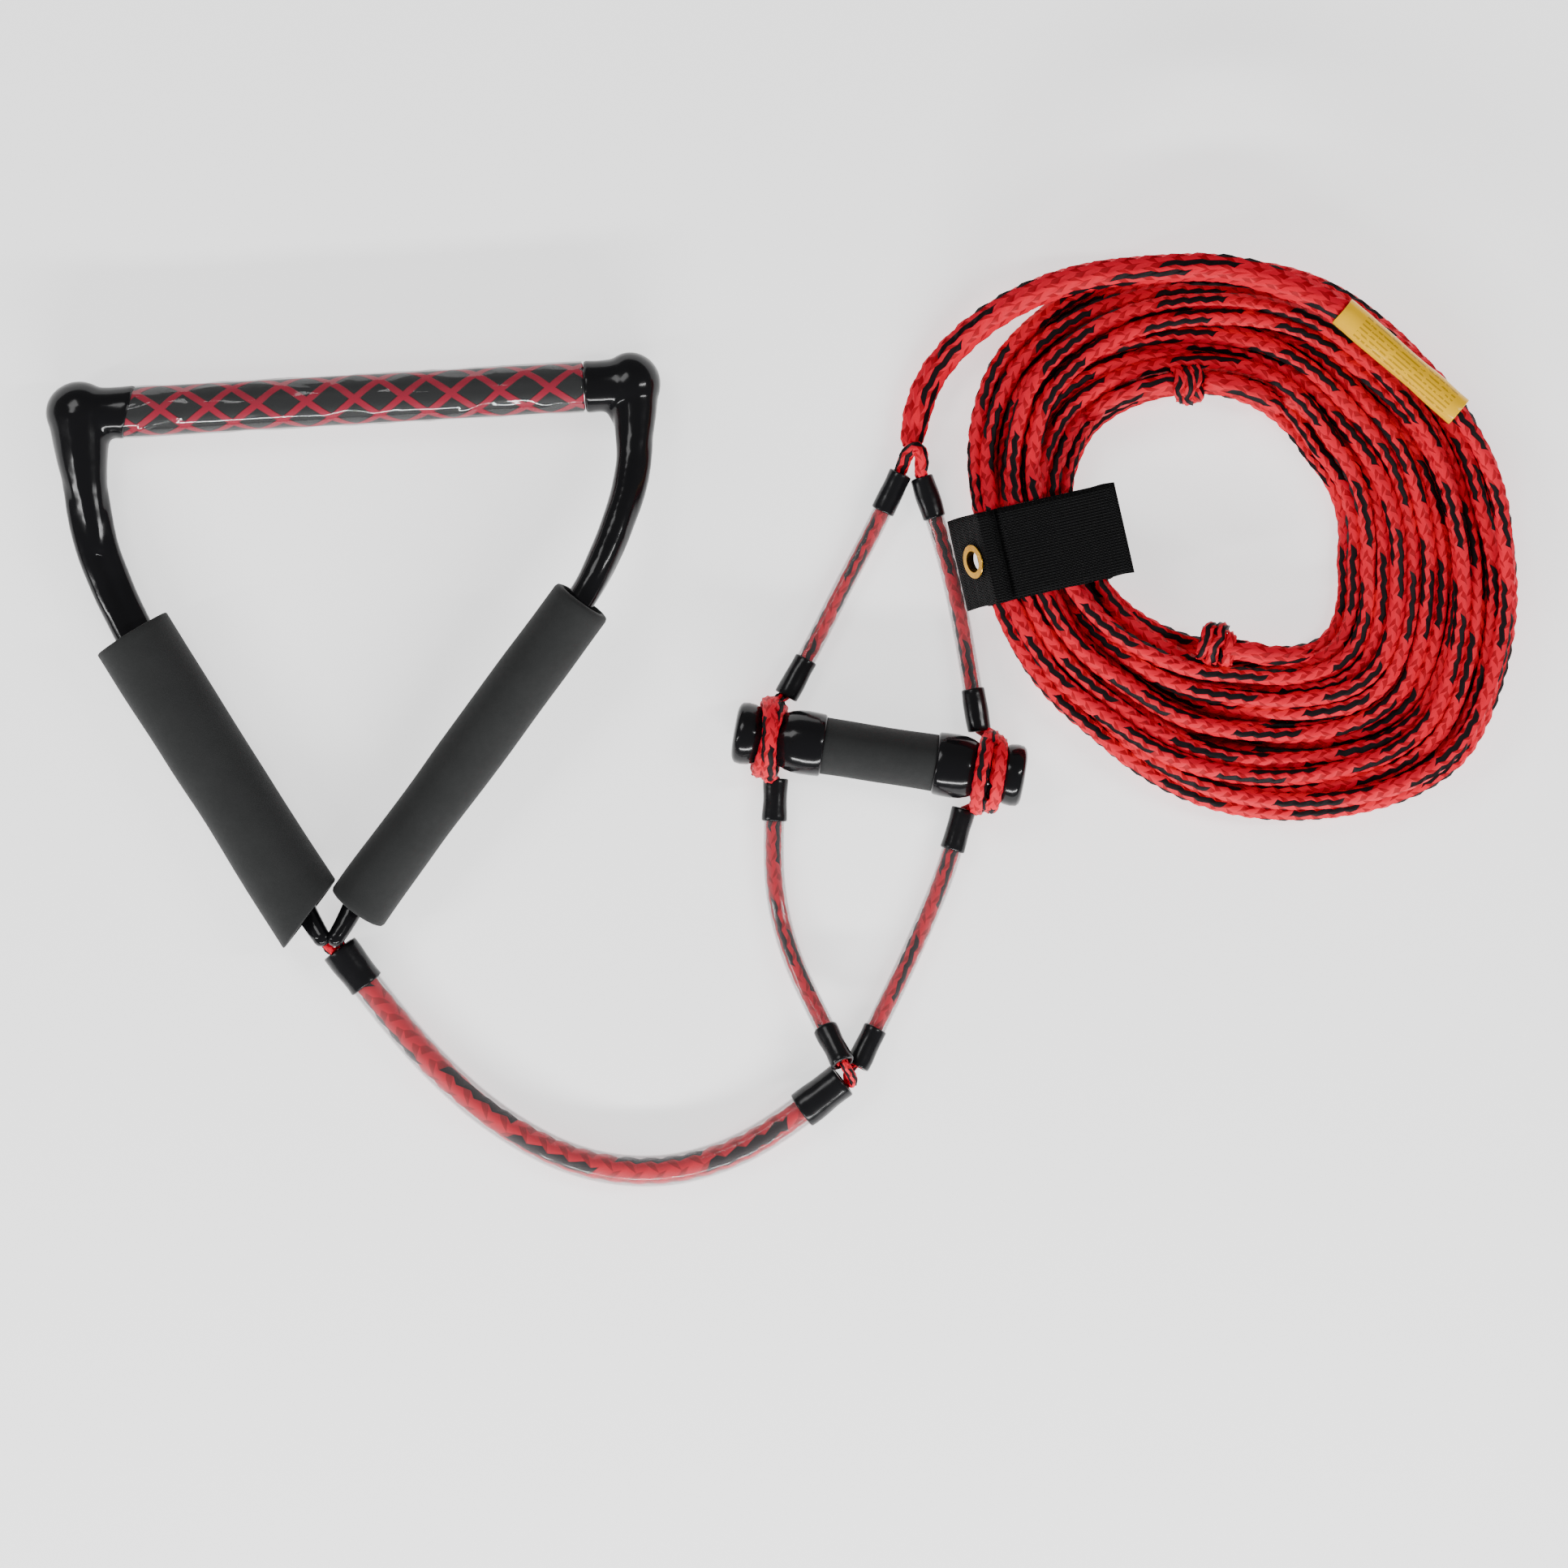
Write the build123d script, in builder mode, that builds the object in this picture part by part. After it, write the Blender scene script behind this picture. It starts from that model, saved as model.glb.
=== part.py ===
from build123d import *
from math import cos, pi, radians, sin, tan
import os

# Tow rope handle, laid flat as it is stored.
# Frame, in millimetres: origin at the centre of the main grip, +X along the grip bar to its
# right end, +Z up from the surface that the handle lies on, +Y away from the rope side.

os.makedirs("parts", exist_ok=True)

# ---- driving dimensions ----
floor_z = -17.0             # surface that everything lies on
fit_gap = 0.1               # clearance between pieces of one body

bar_r = 10.0                # aluminium bar tube
bar_bore_r = 8.2
bar_half = 139.0
bar_chamfer = 0.5
plug_r = 8.1
plug_length = 20.0
plug_end = 134.0
rope_r = 4.5                # bridle rope inside the bar and the arms
grip_r = 13.4
grip_left = -131.5
grip_right = 125.0
film_thickness = 0.25
film_gap = 0.05             # between the foam and its film

collar_right_end = 140.5
collar_left_end = -140.0
collar_r = 15.0
collar_edge = 1.5
neck_r = 14.6               # dipped neck from the elbow ball to the collar
neck_overrun = 3.0          # neck made past the collar's face, then cut back to it
elbow_left_r = 17.0
elbow_right_r = 15.6
arm_left_top_r = 13.2
arm_left_r = 10.8
arm_right_top_r = 10.2
arm_right_r = 9.2
loop_r = 5.3                # dipped rope loops at the lower ends of the arms

float_left_half_width = 22.5
float_left_half_height = 18.5
float_left_bore_r = 13.6
float_left_length = 184.0
float_left_spare = 12.0     # made longer below, then cut back to the mitre
float_left_mitre = 20.0     # degrees, on the side of the other float
float_right_r = 17.5
float_right_bore_r = 12.4
float_right_length = 214.0
float_edge = 3.0

knot_r = 5.5                # round knots that the sections of rope turn on

tail_tube_r = 8.75
tail_wall = 1.1
tail_sleeve_r = 10.4
lower_tube_r = 5.7
lower_sleeve_r = 6.8
upper_tube_r = 5.4
upper_sleeve_r = 6.6
leg_wall = 0.9
sleeve_length = 24.0
tube_inset = 0.12           # the tube starts this share of a sleeve inside it

cross_axis_z = 1.0
cross_half = 81.0
cross_cap_r = 17.8
cross_cap_length = 49.0
cross_foam_r = 16.0
cross_core_r = 9.0
cross_core_wall = 1.5
cross_core_inset = 6.0      # the core stops this far inside each cap
cross_cap_edge = 1.0        # step at the cap's inner end
cross_nose = 5.0            # rounded outer end of the cap
cross_nose_drop = 4.0
cross_nose_flat_r = 8.0
wrap_centre = 17.5          # rope wrap, from the end of the bar to its middle
wrap_width = 13.0
wrap_groove_r = 16.2
wrap_r = 20.8
wrap_edge = 2.0
wrap_slack = 1.0            # the groove is this much wider than the wrap

line_r = 4.75               # main line, hollow braid
splice_r = 8.1              # main line where it is spliced on itself
coil_height = 42.0
coil_edge = 11.0
loop_knot_r = 10.0
loop_knot_depth = 12.0      # below the top of the coil

label_r = 8.5
label_bore_r = 7.4
label_length = 85.0
label_start = 2.5           # along the straight stretch of the line

strap_width = 51.0
strap_thickness = 1.6
band_left = -35.6           # strap section: distance across the bundle, height
band_right = 34.6
band_corner = 13.6
band_squeeze = 1.2          # the band holds the coil this much flatter
tab_fold_in = (-22.0, 26.4)
tab_fold = (-31.2, 28.8)
tab_end = (-47.0, 2.0)
flap_left = -20.0
flap_right = 46.0
flap_z = 28.4
flap_edge = 0.7
grommet_r = 9.5
grommet_hole_r = 6.0
grommet_wall = 0.6
grommet_flange = 0.8
grommet_edge = 0.35
grommet_from_fold = 12.0

# ---- places ----
handle_knot_at = Vector(-32.6, -301.5, 4.0)
lower_knot_at = Vector(250.5, -389.4, -3.0)
upper_knot_at = Vector(301.4, -49.8, -8.5)
cross_centre = Vector(277.2, -212.6, cross_axis_z)
cross_turn = -12.0          # degrees from +X
strap_at = Vector(373.0, -103.0, 0)
strap_turn = 9.6

# ---- routes of the ropes: points chosen along each rope, joined by straight runs and arcs ----
arm_left_route = [
    (-155.5, 0, 0), (-155.0, -42, 0), (-149.4, -76, 0.5), (-137.2, -110.5, 1.2),
    (-118.5, -148.7, 1.5), (-45.5, -279.5, 1.5)]
arm_right_route = [
    (152.5, 0, 0), (152.8, -35, 6.5), (145.2, -67, 17), (130.4, -98, 26.2),
    (116.0, -122.1, 28.3), (-15.2, -279.8, 3.4)]
loop_left_route = [(-47.0, -276.8, 1.5), (-42.6, -286.0, 3.2), (-38.3, -294.6, 9.5)]
loop_right_route = [(-16.8, -277.9, 3.6), (-21.4, -287.5, 5.2), (-27.0, -295.4, 9.5)]
bridle_rope_route = (
    [loop_left_route[2], loop_left_route[1]] + arm_left_route[::-1]
    + arm_right_route + [loop_right_route[1], loop_right_route[2]])

tail_route = [
    (-27.4, -304.6, -6.4), (-4.9, -338.4, -7.6), (22.4, -373.6, -8.2), (55.2, -405.6, -8.2),
    (96.0, -430.4, -8.2), (140.5, -438.8, -8.2), (182.5, -430.8, -8.2), (217.2, -412.4, -7.6),
    (242.8, -394.4, -6.4)]

lower_left_route = [
    (219.2, -222.6, -10.2), (215.6, -256, -10.2), (215.2, -289, -10.2), (221.6, -321.5, -9.5),
    (234.2, -352.5, -4), (247.6, -382.2, 11.4)]
lower_right_route = [
    (322.6, -245.4, -10.2), (312.6, -275.5, -10.2), (298.8, -304.5, -10.2), (284.2, -333, -9.8),
    (268.9, -360.5, -8.5), (255.0, -385.0, -6.2)]
upper_left_route = [
    (298.0, -57.2, -6.6), (282.7, -85.2, -9.6), (262.8, -117.6, -10.4), (244.6, -149.8, -10.4),
    (227.2, -177.6, -10.4)]
upper_right_route = [
    (309.2, -60.0, -10.4), (318.6, -94, -10.4), (325.2, -130, -10.4), (329.8, -166, -10.4),
    (333.6, -202.9, -10.4)]

splice_route = [
    (304.5, -43.4, -8.6), (309.4, -15.5, -8.6), (331.0, 12.0, -4), (364.0, 33.2, 10),
    (401.5, 44.0, 25.0), (442.0, 45.6, 33.6), (483.5, 44.6, 34.0), (520.5, 30.4, 34.0),
    (542.0, 18.6, 34.0)]
line_route = [
    (542.6, 18.2, 34.0), (573.6, -12.2, 34.2), (605.4, -42.6, 34.0), (617.6, -64.5, 32.6),
    (626.0, -88.5, 25.5)]

coil_outer = [
    (335, -40), (338.5, -90), (350, -150), (398, -212), (456, -253), (525, -262.5), (598, -243),
    (632, -172), (631, -92), (594, -15), (540, 34.5), (470, 52), (400, 42), (352, 6)]
coil_inner = [
    (392, -72), (408, -38), (448, -23), (492, -29), (522, -62), (537, -118), (528, -161),
    (480, -158), (438, -149), (404, -114)]
coil_knots = {"top_loop_knot": (457.9, -17.5), "bottom_loop_knot": (466.4, -162.0)}


def corner_radii(points):
    """Arc radius at each corner: 0.45 of the shorter run over the tangent of half the turn."""
    runs = [Vector(*b) - Vector(*a) for a, b in zip(points, points[1:])]
    return [
        0.45 * min(a.length, b.length) / tan(radians(a.get_angle(b) / 2))
        for a, b in zip(runs, runs[1:])]


def route(points):
    """A rope's centre line: straight runs joined by tangent arcs."""
    with BuildLine() as line:
        FilletPolyline(*points, radius=corner_radii(points))
    return line.wire()


def tube_along(path, outer_r, inner_r=0.0):
    """A round tube or solid rope along a centre line."""
    with BuildPart() as piece:
        with BuildSketch(Plane(origin=path @ 0, z_dir=path % 0)):
            Circle(outer_r)
            if inner_r:
                Circle(inner_r, mode=Mode.SUBTRACT)
        sweep(path=path)
    return piece.part


def save(part, name):
    """Labels a finished piece and writes it out."""
    part.label = name
    export_step(part, f"parts/{name}.step")


def save_rope(points, radius, name):
    """Writes a plain rope and prints its bend radii and its volume against section times length."""
    path = route(points)
    rope = tube_along(path, radius)
    radii = [round(r) for r in corner_radii(points)]
    ratio = rope.volume / (pi * radius**2 * path.length)
    print(f"{name}: length {path.length:.0f}, radii {radii}, volume ratio {ratio:.4f}")
    save(rope, name)


def save_leg(points, tube_r, wall, sleeve_r, start_sleeve, end_sleeve, prefix):
    """A rope in a clear tube, with a black sleeve over each end."""
    path = route(points)
    save_rope(points, tube_r - wall - fit_gap, f"{prefix}_rope")
    share = sleeve_length / path.length
    inset = tube_inset * share
    tube = tube_along(path.trim(inset, 1 - inset), tube_r, tube_r - wall)
    save(tube, f"{prefix}_tube")
    for name, start, end in ((start_sleeve, 0.0, share), (end_sleeve, 1 - share, 1.0)):
        sleeve = tube_along(path.trim(start, end), sleeve_r, tube_r + fit_gap)
        save(sleeve, name)


# ---- main handle: bar ----
bar_plane = Plane(origin=(0, 0, 0), z_dir=(1, 0, 0))

with BuildPart() as bar_tube:
    with BuildSketch(bar_plane.offset(-bar_half)):
        Circle(bar_r)
        Circle(bar_bore_r, mode=Mode.SUBTRACT)
    extrude(amount=2 * bar_half)
    chamfer(bar_tube.edges().filter_by(GeomType.CIRCLE), length=bar_chamfer)
save(bar_tube.part, "bar_tube")

for side, name in ((-1, "left_bar_plug"), (1, "right_bar_plug")):
    with BuildPart() as plug:
        with BuildSketch(bar_plane.offset(side * plug_end - (plug_length if side > 0 else 0))):
            Circle(plug_r)
            Circle(rope_r + fit_gap, mode=Mode.SUBTRACT)
        extrude(amount=plug_length)
    save(plug.part, name)

with BuildPart() as bar_grip:
    with BuildSketch(bar_plane.offset(grip_left)):
        Circle(grip_r)
        Circle(bar_r + fit_gap, mode=Mode.SUBTRACT)
    extrude(amount=grip_right - grip_left)
save(bar_grip.part, "bar_grip")

with BuildPart() as grip_film:
    with BuildSketch(bar_plane.offset(grip_left)):
        Circle(grip_r + film_gap + film_thickness)
        Circle(grip_r + film_gap, mode=Mode.SUBTRACT)
    extrude(amount=grip_right - grip_left)
save(grip_film.part, "grip_film")

for start, end, name in (
        (collar_left_end, grip_left - fit_gap, "left_bar_collar"),
        (grip_right + fit_gap, collar_right_end, "right_bar_collar")):
    with BuildPart() as collar:
        with BuildSketch(bar_plane.offset(start)):
            Circle(collar_r)
            Circle(bar_r + fit_gap, mode=Mode.SUBTRACT)
        extrude(amount=end - start)
        rims = collar.edges().filter_by(GeomType.CIRCLE).group_by(SortBy.RADIUS)[-1]
        fillet(rims, radius=collar_edge)
    save(collar.part, name)

# ---- main handle: bridle rope and dipped arms ----
bridle_path = route(bridle_rope_route)
save_rope(bridle_rope_route, rope_r, "bridle_rope")


def arm_cover(points, loop_points, rope_share, top_r, low_r, elbow_r, socket_end, socket_side):
    """Elbow ball, neck to the bar, tapered arm and thin loop, hollow along the rope."""
    path = route(points)
    with BuildPart() as cover:
        for place, radius in ((0, top_r), (0.3, low_r + 0.3 * (top_r - low_r)), (1, low_r)):
            with BuildSketch(Plane(origin=path @ place, z_dir=path % place)):
                Circle(radius)
        sweep(path=path, multisection=True)
        with Locations(points[0]):
            Sphere(elbow_r)
        with BuildSketch(bar_plane.offset(points[0][0])):
            Circle(neck_r)
        extrude(amount=socket_end - points[0][0] - socket_side * neck_overrun)
        loop_path = route(loop_points)
        with BuildSketch(Plane(origin=loop_path @ 0, z_dir=loop_path % 0)):
            Circle(loop_r)
        sweep(path=loop_path)
        with BuildSketch(bar_plane.offset(socket_end)):
            Circle(elbow_r + neck_overrun)
        extrude(amount=-socket_side * elbow_r, mode=Mode.SUBTRACT)
    channel = tube_along(bridle_path.trim(*rope_share), rope_r + fit_gap)
    return cover.part - channel


left_arm = arm_cover(
    arm_left_route, loop_left_route, (0.0, 0.5), arm_left_top_r, arm_left_r, elbow_left_r,
    collar_left_end - fit_gap, -1)
save(left_arm, "left_arm_cover")
right_arm = arm_cover(
    arm_right_route, loop_right_route, (0.5, 1.0), arm_right_top_r, arm_right_r, elbow_right_r,
    collar_right_end + fit_gap, 1)
save(right_arm, "right_arm_cover")

# ---- floats ----
left_low = Vector(-43.3, -283.5, 1.5)
left_axis = (Vector(*arm_left_route[4]) - Vector(*arm_left_route[5])).normalized()
left_side = Vector(0, 0, 1).cross(left_axis)

with BuildPart() as left_float:
    start = left_low - left_axis * float_left_spare
    with BuildSketch(Plane(origin=start, z_dir=left_axis, x_dir=left_side)):
        Ellipse(float_left_half_width, float_left_half_height)
        Circle(float_left_bore_r, mode=Mode.SUBTRACT)
    extrude(amount=float_left_length + float_left_spare)
    cut = Plane(origin=left_low, z_dir=left_axis.rotate(Axis.Z, float_left_mitre))
    split(bisect_by=cut, keep=Keep.TOP)
save(left_float.part, "left_float")

right_low = Vector(-17.1, -282.1, 3.1)
right_axis = (Vector(*arm_right_route[4]) - Vector(*arm_right_route[5])).normalized()
with BuildPart() as right_float:
    with BuildSketch(Plane(origin=right_low, z_dir=right_axis)):
        Circle(float_right_r)
        Circle(float_right_bore_r, mode=Mode.SUBTRACT)
    extrude(amount=float_right_length)
    rims = right_float.edges().filter_by(GeomType.CIRCLE).group_by(SortBy.RADIUS)[-1]
    fillet(rims, radius=float_edge)
save(right_float.part, "right_float")

# ---- knots that the sections turn on ----
for at, name in (
        (handle_knot_at, "handle_knot"), (lower_knot_at, "lower_apex_knot"),
        (upper_knot_at, "upper_apex_knot")):
    with BuildPart() as knot:
        with Locations(at):
            Sphere(knot_r)
    save(knot.part, name)

# ---- tail and bridle legs ----
save_leg(
    tail_route, tail_tube_r, tail_wall, tail_sleeve_r,
    "tail_handle_sleeve", "tail_bridle_sleeve", "tail")
save_leg(
    lower_left_route, lower_tube_r, leg_wall, lower_sleeve_r,
    "lower_left_bar_sleeve", "lower_left_apex_sleeve", "lower_left")
save_leg(
    lower_right_route, lower_tube_r, leg_wall, lower_sleeve_r,
    "lower_right_bar_sleeve", "lower_right_apex_sleeve", "lower_right")
save_leg(
    upper_left_route, upper_tube_r, leg_wall, upper_sleeve_r,
    "upper_left_apex_sleeve", "upper_left_bar_sleeve", "upper_left")
save_leg(
    upper_right_route, upper_tube_r, leg_wall, upper_sleeve_r,
    "upper_right_apex_sleeve", "upper_right_bar_sleeve", "upper_right")

# ---- cross handle ----
cross_direction = Vector(cos(radians(cross_turn)), sin(radians(cross_turn)), 0)
cross_plane = Plane(origin=cross_centre, x_dir=cross_direction, z_dir=(0, 0, 1))
cross_axis = Axis(cross_centre, cross_direction)
foam_half = cross_half - cross_cap_length - fit_gap
core_half = cross_half - cross_core_inset

with BuildPart() as cross_core:
    start = cross_centre - cross_direction * core_half
    with BuildSketch(Plane(origin=start, z_dir=cross_direction)):
        Circle(cross_core_r)
        Circle(cross_core_r - cross_core_wall, mode=Mode.SUBTRACT)
    extrude(amount=2 * core_half)
save(cross_core.part, "cross_core")

with BuildPart() as cross_grip:
    start = cross_centre - cross_direction * foam_half
    with BuildSketch(Plane(origin=start, z_dir=cross_direction)):
        Circle(cross_foam_r)
        Circle(cross_core_r + fit_gap, mode=Mode.SUBTRACT)
    extrude(amount=2 * foam_half)
save(cross_grip.part, "cross_grip")


def cross_end(side, cap_name, wrap_name):
    """Dipped cap with a groove, and the rope wrap that sits in the groove."""
    inner = side * (cross_half - cross_cap_length)
    outer = side * cross_half
    bore_end = side * (core_half + fit_gap)
    wrap_mid = side * (cross_half - wrap_centre)
    bore_r = cross_core_r + fit_gap
    nose_start = (outer - side * cross_nose, cross_cap_r)
    nose_mid = (outer - side * cross_cap_edge, cross_cap_r - cross_nose_drop)
    nose_end = (outer, cross_nose_flat_r)
    groove_depth = wrap_r - wrap_groove_r
    with BuildPart() as cap:
        with BuildSketch(cross_plane):
            with BuildLine():
                Polyline(
                    (inner, bore_r), (inner, cross_cap_r - cross_cap_edge),
                    (inner + side * cross_cap_edge, cross_cap_r), nose_start)
                Spline(nose_start, nose_mid, nose_end, tangents=((side, 0), (0, -1)))
                Polyline(nose_end, (outer, 0), (bore_end, 0), (bore_end, bore_r), (inner, bore_r))
            make_face()
        revolve(axis=cross_axis)
        with BuildSketch(cross_plane):
            with Locations((wrap_mid, wrap_groove_r + groove_depth)):
                Rectangle(wrap_width + wrap_slack, 2 * groove_depth)
        revolve(axis=cross_axis, mode=Mode.SUBTRACT)
    save(cap.part, cap_name)
    with BuildPart() as wrap:
        with BuildSketch(cross_plane):
            with Locations((wrap_mid, (wrap_groove_r + wrap_r + fit_gap) / 2)):
                RectangleRounded(wrap_width, groove_depth - fit_gap, wrap_edge)
        revolve(axis=cross_axis)
    save(wrap.part, wrap_name)


cross_end(-1, "left_cross_cap", "left_cross_knot")
cross_end(1, "right_cross_cap", "right_cross_knot")

# ---- main line ----
save_rope(splice_route, splice_r, "spliced_lead")
save_rope(line_route, line_r, "label_line")

with BuildPart() as rope_coil:
    with BuildSketch(Plane.XY.offset(floor_z)):
        with BuildLine():
            Spline(*coil_outer, periodic=True)
        make_face()
        with BuildLine():
            Spline(*coil_inner, periodic=True)
        make_face(mode=Mode.SUBTRACT)
    extrude(amount=coil_height)
    rims = rope_coil.faces().filter_by(Axis.Z).edges()
    fillet(rims, radius=coil_edge)
save(rope_coil.part, "rope_coil")

for name, (x, y) in coil_knots.items():
    with BuildPart() as knot:
        with Locations((x, y, floor_z + coil_height - loop_knot_depth)):
            Sphere(loop_knot_r)
    save(knot.part, name)

label_axis = (Vector(*line_route[2]) - Vector(*line_route[0])).normalized()
label_at = Vector(*line_route[0]) + label_axis * label_start
with BuildPart() as label_tube:
    with BuildSketch(Plane(origin=label_at, z_dir=label_axis)):
        Circle(label_r)
        Circle(label_bore_r, mode=Mode.SUBTRACT)
    extrude(amount=label_length)
save(label_tube.part, "label_tube")

# ---- strap: band round the bundle with its doubled tab, grommet, free flap ----
strap_u = Vector(cos(radians(strap_turn)), sin(radians(strap_turn)), 0)
strap_v = Vector(0, 0, 1).cross(strap_u)
strap_section = Plane(origin=strap_at + strap_v * (strap_width / 2), x_dir=strap_u, z_dir=-strap_v)
band_middle = (band_left + band_right) / 2
band_span = band_right - band_left
band_height = coil_height + 2 * strap_thickness - band_squeeze


def strap_point(across, height):
    """A point in the middle of the strap's width."""
    return strap_at + strap_u * across + Vector(0, 0, height)


tab_start = strap_point(*tab_fold)
tab_down = (strap_point(*tab_end) - tab_start).normalized()
tab_out = tab_down.cross(strap_v)
if tab_out.Z < 0:
    tab_out = -tab_out
grommet_at = tab_start + tab_down * grommet_from_fold
grommet_plane = Plane(origin=grommet_at, x_dir=strap_v, z_dir=tab_out)
grommet_half = strap_thickness + grommet_flange

with BuildPart() as strap_band:
    with BuildSketch(strap_section):
        with Locations((band_middle, floor_z + band_height / 2)):
            RectangleRounded(band_span, band_height, band_corner)
            RectangleRounded(
                band_span - 2 * strap_thickness, band_height - 2 * strap_thickness,
                band_corner - strap_thickness, mode=Mode.SUBTRACT)
        with BuildLine():
            Polyline(tab_fold_in, tab_fold, tab_end)
        trace(line_width=2 * strap_thickness)
    extrude(amount=strap_width)
    with BuildSketch(grommet_plane.offset(-grommet_half)):
        Circle(grommet_hole_r + grommet_wall + fit_gap)
    extrude(amount=2 * grommet_half, mode=Mode.SUBTRACT)
save(strap_band.part, "strap_band")

with BuildPart() as grommet:
    with BuildSketch(grommet_plane.offset(-grommet_half)):
        Circle(grommet_hole_r + grommet_wall)
        Circle(grommet_hole_r, mode=Mode.SUBTRACT)
    extrude(amount=2 * grommet_half)
    for level in (-grommet_half, strap_thickness):
        with BuildSketch(grommet_plane.offset(level)):
            Circle(grommet_r)
            Circle(grommet_hole_r, mode=Mode.SUBTRACT)
        extrude(amount=grommet_flange)
    rims = grommet.edges().filter_by(GeomType.CIRCLE).group_by(SortBy.RADIUS)[-1]
    fillet(rims, radius=grommet_edge)
save(grommet.part, "grommet")

with BuildPart() as strap_flap:
    with BuildSketch(strap_section):
        with Locations(((flap_left + flap_right) / 2, flap_z)):
            RectangleRounded(flap_right - flap_left, strap_thickness, flap_edge)
    extrude(amount=strap_width)
save(strap_flap.part, "strap_flap")

# ---- joint places and mount places, for the record ----
print("bar fold", cross_centre, cross_direction)
print("left float axis", left_axis, "right float axis", right_axis)
print("label axis", label_axis)
print("flap hinge", strap_point(flap_left, flap_z), "axis", -strap_v)
print("grommet", grommet_at, tab_out, 2 * grommet_half)
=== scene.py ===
from math import cos, pi, radians, sin, tan

import bpy
import numpy as np
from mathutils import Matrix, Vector, noise


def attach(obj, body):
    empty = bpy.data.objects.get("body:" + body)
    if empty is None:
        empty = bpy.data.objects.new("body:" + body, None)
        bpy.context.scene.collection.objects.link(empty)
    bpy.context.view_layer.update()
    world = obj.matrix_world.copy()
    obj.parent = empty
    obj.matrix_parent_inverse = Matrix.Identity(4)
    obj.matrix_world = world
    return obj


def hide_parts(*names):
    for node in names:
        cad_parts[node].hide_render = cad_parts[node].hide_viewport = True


# Looks of the tow rope handle. Metres, in the CAD frame: origin at the middle of the main grip,
# +X along the grip bar, +Z up from the floor that the handle lies on.

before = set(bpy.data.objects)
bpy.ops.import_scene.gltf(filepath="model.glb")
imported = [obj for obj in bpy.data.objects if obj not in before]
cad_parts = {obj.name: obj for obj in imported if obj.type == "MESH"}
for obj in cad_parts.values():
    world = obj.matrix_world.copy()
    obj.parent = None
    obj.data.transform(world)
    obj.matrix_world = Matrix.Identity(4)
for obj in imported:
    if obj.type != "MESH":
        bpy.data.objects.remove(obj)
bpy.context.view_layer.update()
mm = 0.001
floor_z = -0.017
dice = np.random.default_rng(7)
lump_seed = 1794984620      # noise_vector would otherwise take its offsets from the clock
noise.seed_set(lump_seed)


# -------------------- camera, light and floor
def placed(name, data):
    """A new object in the scene."""
    made = bpy.data.objects.new(name, data)
    bpy.context.scene.collection.objects.link(made)
    return made


view_centre = (0.2235, -0.2261)
view_turn = radians(-3.2)
view_width = 0.8694
camera_height = 4.0

camera_data = bpy.data.cameras.new("camera")
camera_data.sensor_width = 36
camera_data.lens = 36 * camera_height / view_width
camera = placed("camera", camera_data)
camera.location = (*view_centre, camera_height)
camera.rotation_euler = (0, 0, view_turn)
bpy.context.scene.camera = camera


def softbox(name, place, size, watts):
    """A rectangular area light that faces the middle of the view."""
    data = bpy.data.lights.new(name, "AREA")
    data.energy = watts
    data.shape = "RECTANGLE"
    data.size, data.size_y = size
    light = placed(name, data)
    light.location = place
    aim = Vector((*view_centre, 0)) - Vector(place)
    light.rotation_euler = aim.to_track_quat("-Z", "Y").to_euler()


softbox("key_light", (-0.7, 0.9, 1.7), (0.9, 0.7), 13)
softbox("left_light", (-1.4, -0.5, 0.9), (0.08, 0.9), 9)
softbox("fill_light", (1.5, -0.1, 1.2), (0.10, 0.7), 10)
softbox("low_light", (0.2, -1.6, 0.62), (1.6, 0.08), 36)

world = bpy.data.worlds.new("studio")
world.use_nodes = True
backdrop = world.node_tree.nodes["Background"].inputs
backdrop["Color"].default_value = (1, 1, 1, 1)
backdrop["Strength"].default_value = 0.25
bpy.context.scene.world = world


# -------------------- materials
def material(name, colour, roughness, **sockets):
    """A Principled material. The other sockets are named with underscores."""
    made = bpy.data.materials.new(name)
    made.use_nodes = True
    shader = shader_of(made)
    shader.inputs["Base Color"].default_value = (*colour, 1)
    shader.inputs["Roughness"].default_value = roughness
    for socket, value in sockets.items():
        shader.inputs[socket.replace("_", " ").title().replace("Ior", "IOR")].default_value = value
    return made


def add(made, kind, **values):
    """Adds a node to a material, with its inputs by name."""
    node = made.node_tree.nodes.new(kind)
    for name, value in values.items():
        node.inputs[name.replace("_", " ").title()].default_value = value
    return node


def join(made, source, target):
    made.node_tree.links.new(source, target)


def noise_over(made, scale, stretch=(1, 1, 1), detail=3.0):
    """Noise in the object's own coordinates, scale in features per metre."""
    place = add(made, "ShaderNodeTexCoord")
    mapping = add(made, "ShaderNodeMapping", Scale=stretch)
    cloud = add(made, "ShaderNodeTexNoise", Scale=scale, Detail=detail)
    join(made, place.outputs["Object"], mapping.inputs["Vector"])
    join(made, mapping.outputs["Vector"], cloud.inputs["Vector"])
    return cloud.outputs["Fac"]


def between(made, value, low, high):
    """A value from 0 to 1 turned into one from low to high."""
    span = add(made, "ShaderNodeMapRange", To_Min=low, To_Max=high)
    join(made, value, span.inputs["Value"])
    return span.outputs["Result"]


def shader_of(made):
    return made.node_tree.nodes["Principled BSDF"]


def bump(made, height, distance, strength=1.0):
    """Lets a height move the surface normal, after any bump that is there already."""
    node = add(made, "ShaderNodeBump", Strength=strength, Distance=distance)
    join(made, height, node.inputs["Height"])
    normal = shader_of(made).inputs["Normal"]
    if normal.is_linked:
        join(made, normal.links[0].from_socket, node.inputs["Normal"])
    join(made, node.outputs["Normal"], normal)


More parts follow.
